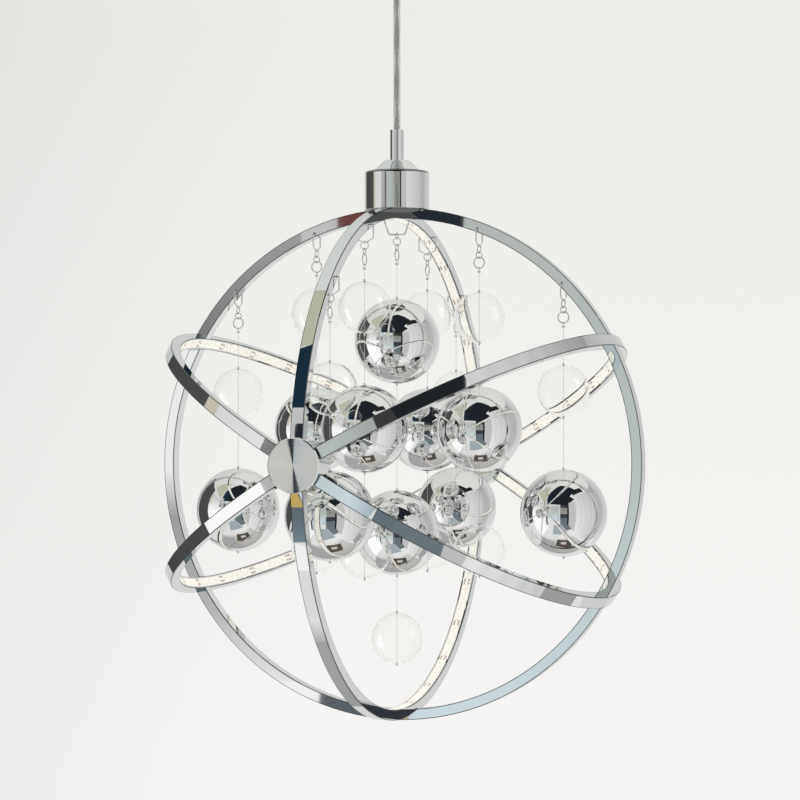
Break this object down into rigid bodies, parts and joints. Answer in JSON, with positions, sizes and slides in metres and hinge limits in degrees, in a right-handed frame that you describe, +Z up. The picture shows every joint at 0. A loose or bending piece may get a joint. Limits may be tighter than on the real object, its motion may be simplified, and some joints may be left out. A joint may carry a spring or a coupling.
{
  "type": "pendant light",
  "caption": "Spherical ceiling pendant of chrome hoops lit by strips on their inner faces, with strands of mirrored and clear glass balls hung inside.",
  "frame": {"origin": "middle of the ceiling face, between the two ceiling screws", "axes": "+Z up out of the ceiling face, the hub axis along Y with the front hub at -Y, X across the front view"},
  "size_m": [0.4799, 0.492, 0.7279],
  "materials": {
    "chrome": "polished plating",
    "brushed_cap": "brushed in circles",
    "zinc_steel": "dull zinc plating",
    "wire": "drawn wire, satin",
    "brass": "turned",
    "mirror_glass": "silvered glass",
    "clear_glass": "thin clear glass",
    "led_silicone": "clear silicone over a white strip",
    "cord_sheath": "clear sheath over silvery strands",
    "driver_case": "moulded"
  },
  "bodies": {
    "ceiling": {"ceiling_bracket": "zinc_steel", "ceiling_rose": "chrome", "rose_screws": "chrome", "led_driver": "driver_case", "cord_grip": "chrome"},
    "cord": {"pendant_cord": "cord_sheath"},
    "stem": {"stem_tube": "chrome"},
    "lamp": {"swivel_stud": "brass", "cup_dome": "chrome", "cup_body": "chrome", "meridian_top": "chrome", "meridian_upper_right": "chrome", "meridian_lower_right": "chrome", "meridian_bottom": "chrome", "meridian_lower_left": "chrome", "meridian_upper_left": "chrome", "equator_arcs": "chrome", "arc_pins": "zinc_steel", "led_strips": "led_silicone", "front_hub": "chrome", "front_cap": "brushed_cap", "rear_hub": "chrome", "rear_cap": "brushed_cap", "centre_hanger": "wire"},
    "left_outer_hook": {"hook_left_outer": "wire"},
    "left_outer_strand": {"line_left_outer": "wire", "mirror_left_outer": "mirror_glass", "clear_left_outer": "clear_glass"},
    "left_inner_hook": {"hook_left_inner": "wire"},
    "left_inner_strand": {"line_left_inner": "wire", "mirror_left_inner": "mirror_glass", "clear_left_inner": "clear_glass"},
    "right_inner_hook": {"hook_right_inner": "wire"},
    "right_inner_strand": {"line_right_inner": "wire", "mirror_right_inner": "mirror_glass", "clear_right_inner": "clear_glass"},
    "right_outer_hook": {"hook_right_outer": "wire"},
    "right_outer_strand": {"line_right_outer": "wire", "mirror_right_outer": "mirror_glass", "clear_right_outer": "clear_glass"},
    "front_outer_hook": {"hook_front_outer": "wire"},
    "front_outer_strand": {"line_front_outer": "wire", "mirror_front_outer": "mirror_glass", "clear_front_outer": "clear_glass"},
    "front_inner_hook": {"hook_front_inner": "wire"},
    "front_inner_strand": {"line_front_inner": "wire", "mirror_front_inner": "mirror_glass", "clear_front_inner": "clear_glass"},
    "rear_inner_hook": {"hook_rear_inner": "wire"},
    "rear_inner_strand": {"line_rear_inner": "wire", "mirror_rear_inner": "mirror_glass", "clear_rear_inner": "clear_glass"},
    "rear_outer_hook": {"hook_rear_outer": "wire"},
    "rear_outer_strand": {"line_rear_outer": "wire", "mirror_rear_outer": "mirror_glass", "clear_rear_outer": "clear_glass"},
    "centre_hook": {"hook_centre": "wire"},
    "centre_strand": {"line_centre": "wire", "mirror_centre": "mirror_glass", "clear_centre": "clear_glass"}
  },
  "joints": [
    {"name": "cord_swing", "type": "hinge", "parent": "ceiling", "child": "cord", "pos_m": [0, 0, -0.042], "axis": [1, 0, 0], "range_deg": [-10, 10]},
    {"name": "stem_tilt", "type": "hinge", "parent": "cord", "child": "stem", "pos_m": [0, 0, -0.174], "axis": [0, 1, 0], "range_deg": [-8, 8]},
    {"name": "lamp_turn", "type": "hinge", "parent": "stem", "child": "lamp", "pos_m": [0, 0, -0.203], "axis": [0, 0, 1], "range_deg": [-90, 90]},
    {"name": "left_outer_hook_swing", "type": "hinge", "parent": "lamp", "child": "left_outer_hook", "pos_m": [-0.16394, 0, -0.32172], "axis": [0, 1, 0], "range_deg": [-1.6, 1.6]},
    {"name": "left_outer_strand_swing", "type": "hinge", "parent": "left_outer_hook", "child": "left_outer_strand", "pos_m": [-0.16394, 0, -0.33691], "axis": [1, 0, 0], "range_deg": [-1.6, 1.6]},
    {"name": "left_inner_hook_swing", "type": "hinge", "parent": "lamp", "child": "left_inner_hook", "pos_m": [-0.08197, 0, -0.26936], "axis": [0, 1, 0], "range_deg": [-1.6, 1.6]},
    {"name": "left_inner_strand_swing", "type": "hinge", "parent": "left_inner_hook", "child": "left_inner_strand", "pos_m": [-0.08197, 0, -0.28455], "axis": [1, 0, 0], "range_deg": [-1.6, 1.6]},
    {"name": "right_inner_hook_swing", "type": "hinge", "parent": "lamp", "child": "right_inner_hook", "pos_m": [0.08197, 0, -0.26936], "axis": [0, 1, 0], "range_deg": [-1.6, 1.6]},
    {"name": "right_inner_strand_swing", "type": "hinge", "parent": "right_inner_hook", "child": "right_inner_strand", "pos_m": [0.08197, 0, -0.28455], "axis": [1, 0, 0], "range_deg": [-1.6, 1.6]},
    {"name": "right_outer_hook_swing", "type": "hinge", "parent": "lamp", "child": "right_outer_hook", "pos_m": [0.16394, 0, -0.32172], "axis": [0, 1, 0], "range_deg": [-1.6, 1.6]},
    {"name": "right_outer_strand_swing", "type": "hinge", "parent": "right_outer_hook", "child": "right_outer_strand", "pos_m": [0.16394, 0, -0.33691], "axis": [1, 0, 0], "range_deg": [-1.6, 1.6]},
    {"name": "front_outer_hook_swing", "type": "hinge", "parent": "lamp", "child": "front_outer_hook", "pos_m": [0, -0.16394, -0.32172], "axis": [1, 0, 0], "range_deg": [-1.6, 1.6]},
    {"name": "front_outer_strand_swing", "type": "hinge", "parent": "front_outer_hook", "child": "front_outer_strand", "pos_m": [0, -0.16394, -0.33691], "axis": [0, 1, 0], "range_deg": [-1.6, 1.6]},
    {"name": "front_inner_hook_swing", "type": "hinge", "parent": "lamp", "child": "front_inner_hook", "pos_m": [0, -0.08197, -0.26936], "axis": [1, 0, 0], "range_deg": [-1.6, 1.6]},
    {"name": "front_inner_strand_swing", "type": "hinge", "parent": "front_inner_hook", "child": "front_inner_strand", "pos_m": [0, -0.08197, -0.28455], "axis": [0, 1, 0], "range_deg": [-1.6, 1.6]},
    {"name": "rear_inner_hook_swing", "type": "hinge", "parent": "lamp", "child": "rear_inner_hook", "pos_m": [0, 0.08197, -0.26936], "axis": [1, 0, 0], "range_deg": [-1.6, 1.6]},
    {"name": "rear_inner_strand_swing", "type": "hinge", "parent": "rear_inner_hook", "child": "rear_inner_strand", "pos_m": [0, 0.08197, -0.28455], "axis": [0, 1, 0], "range_deg": [-1.6, 1.6]},
    {"name": "rear_outer_hook_swing", "type": "hinge", "parent": "lamp", "child": "rear_outer_hook", "pos_m": [0, 0.16394, -0.32172], "axis": [1, 0, 0], "range_deg": [-1.6, 1.6]},
    {"name": "rear_outer_strand_swing", "type": "hinge", "parent": "rear_outer_hook", "child": "rear_outer_strand", "pos_m": [0, 0.16394, -0.33691], "axis": [0, 1, 0], "range_deg": [-1.6, 1.6]},
    {"name": "centre_hook_swing", "type": "hinge", "parent": "lamp", "child": "centre_hook", "pos_m": [0, 0, -0.2725], "axis": [1, 0, 0], "range_deg": [-1.6, 1.6]},
    {"name": "centre_strand_swing", "type": "hinge", "parent": "centre_hook", "child": "centre_strand", "pos_m": [0, 0, -0.27539], "axis": [0, 1, 0], "range_deg": [-1.6, 1.6]}
  ]
}
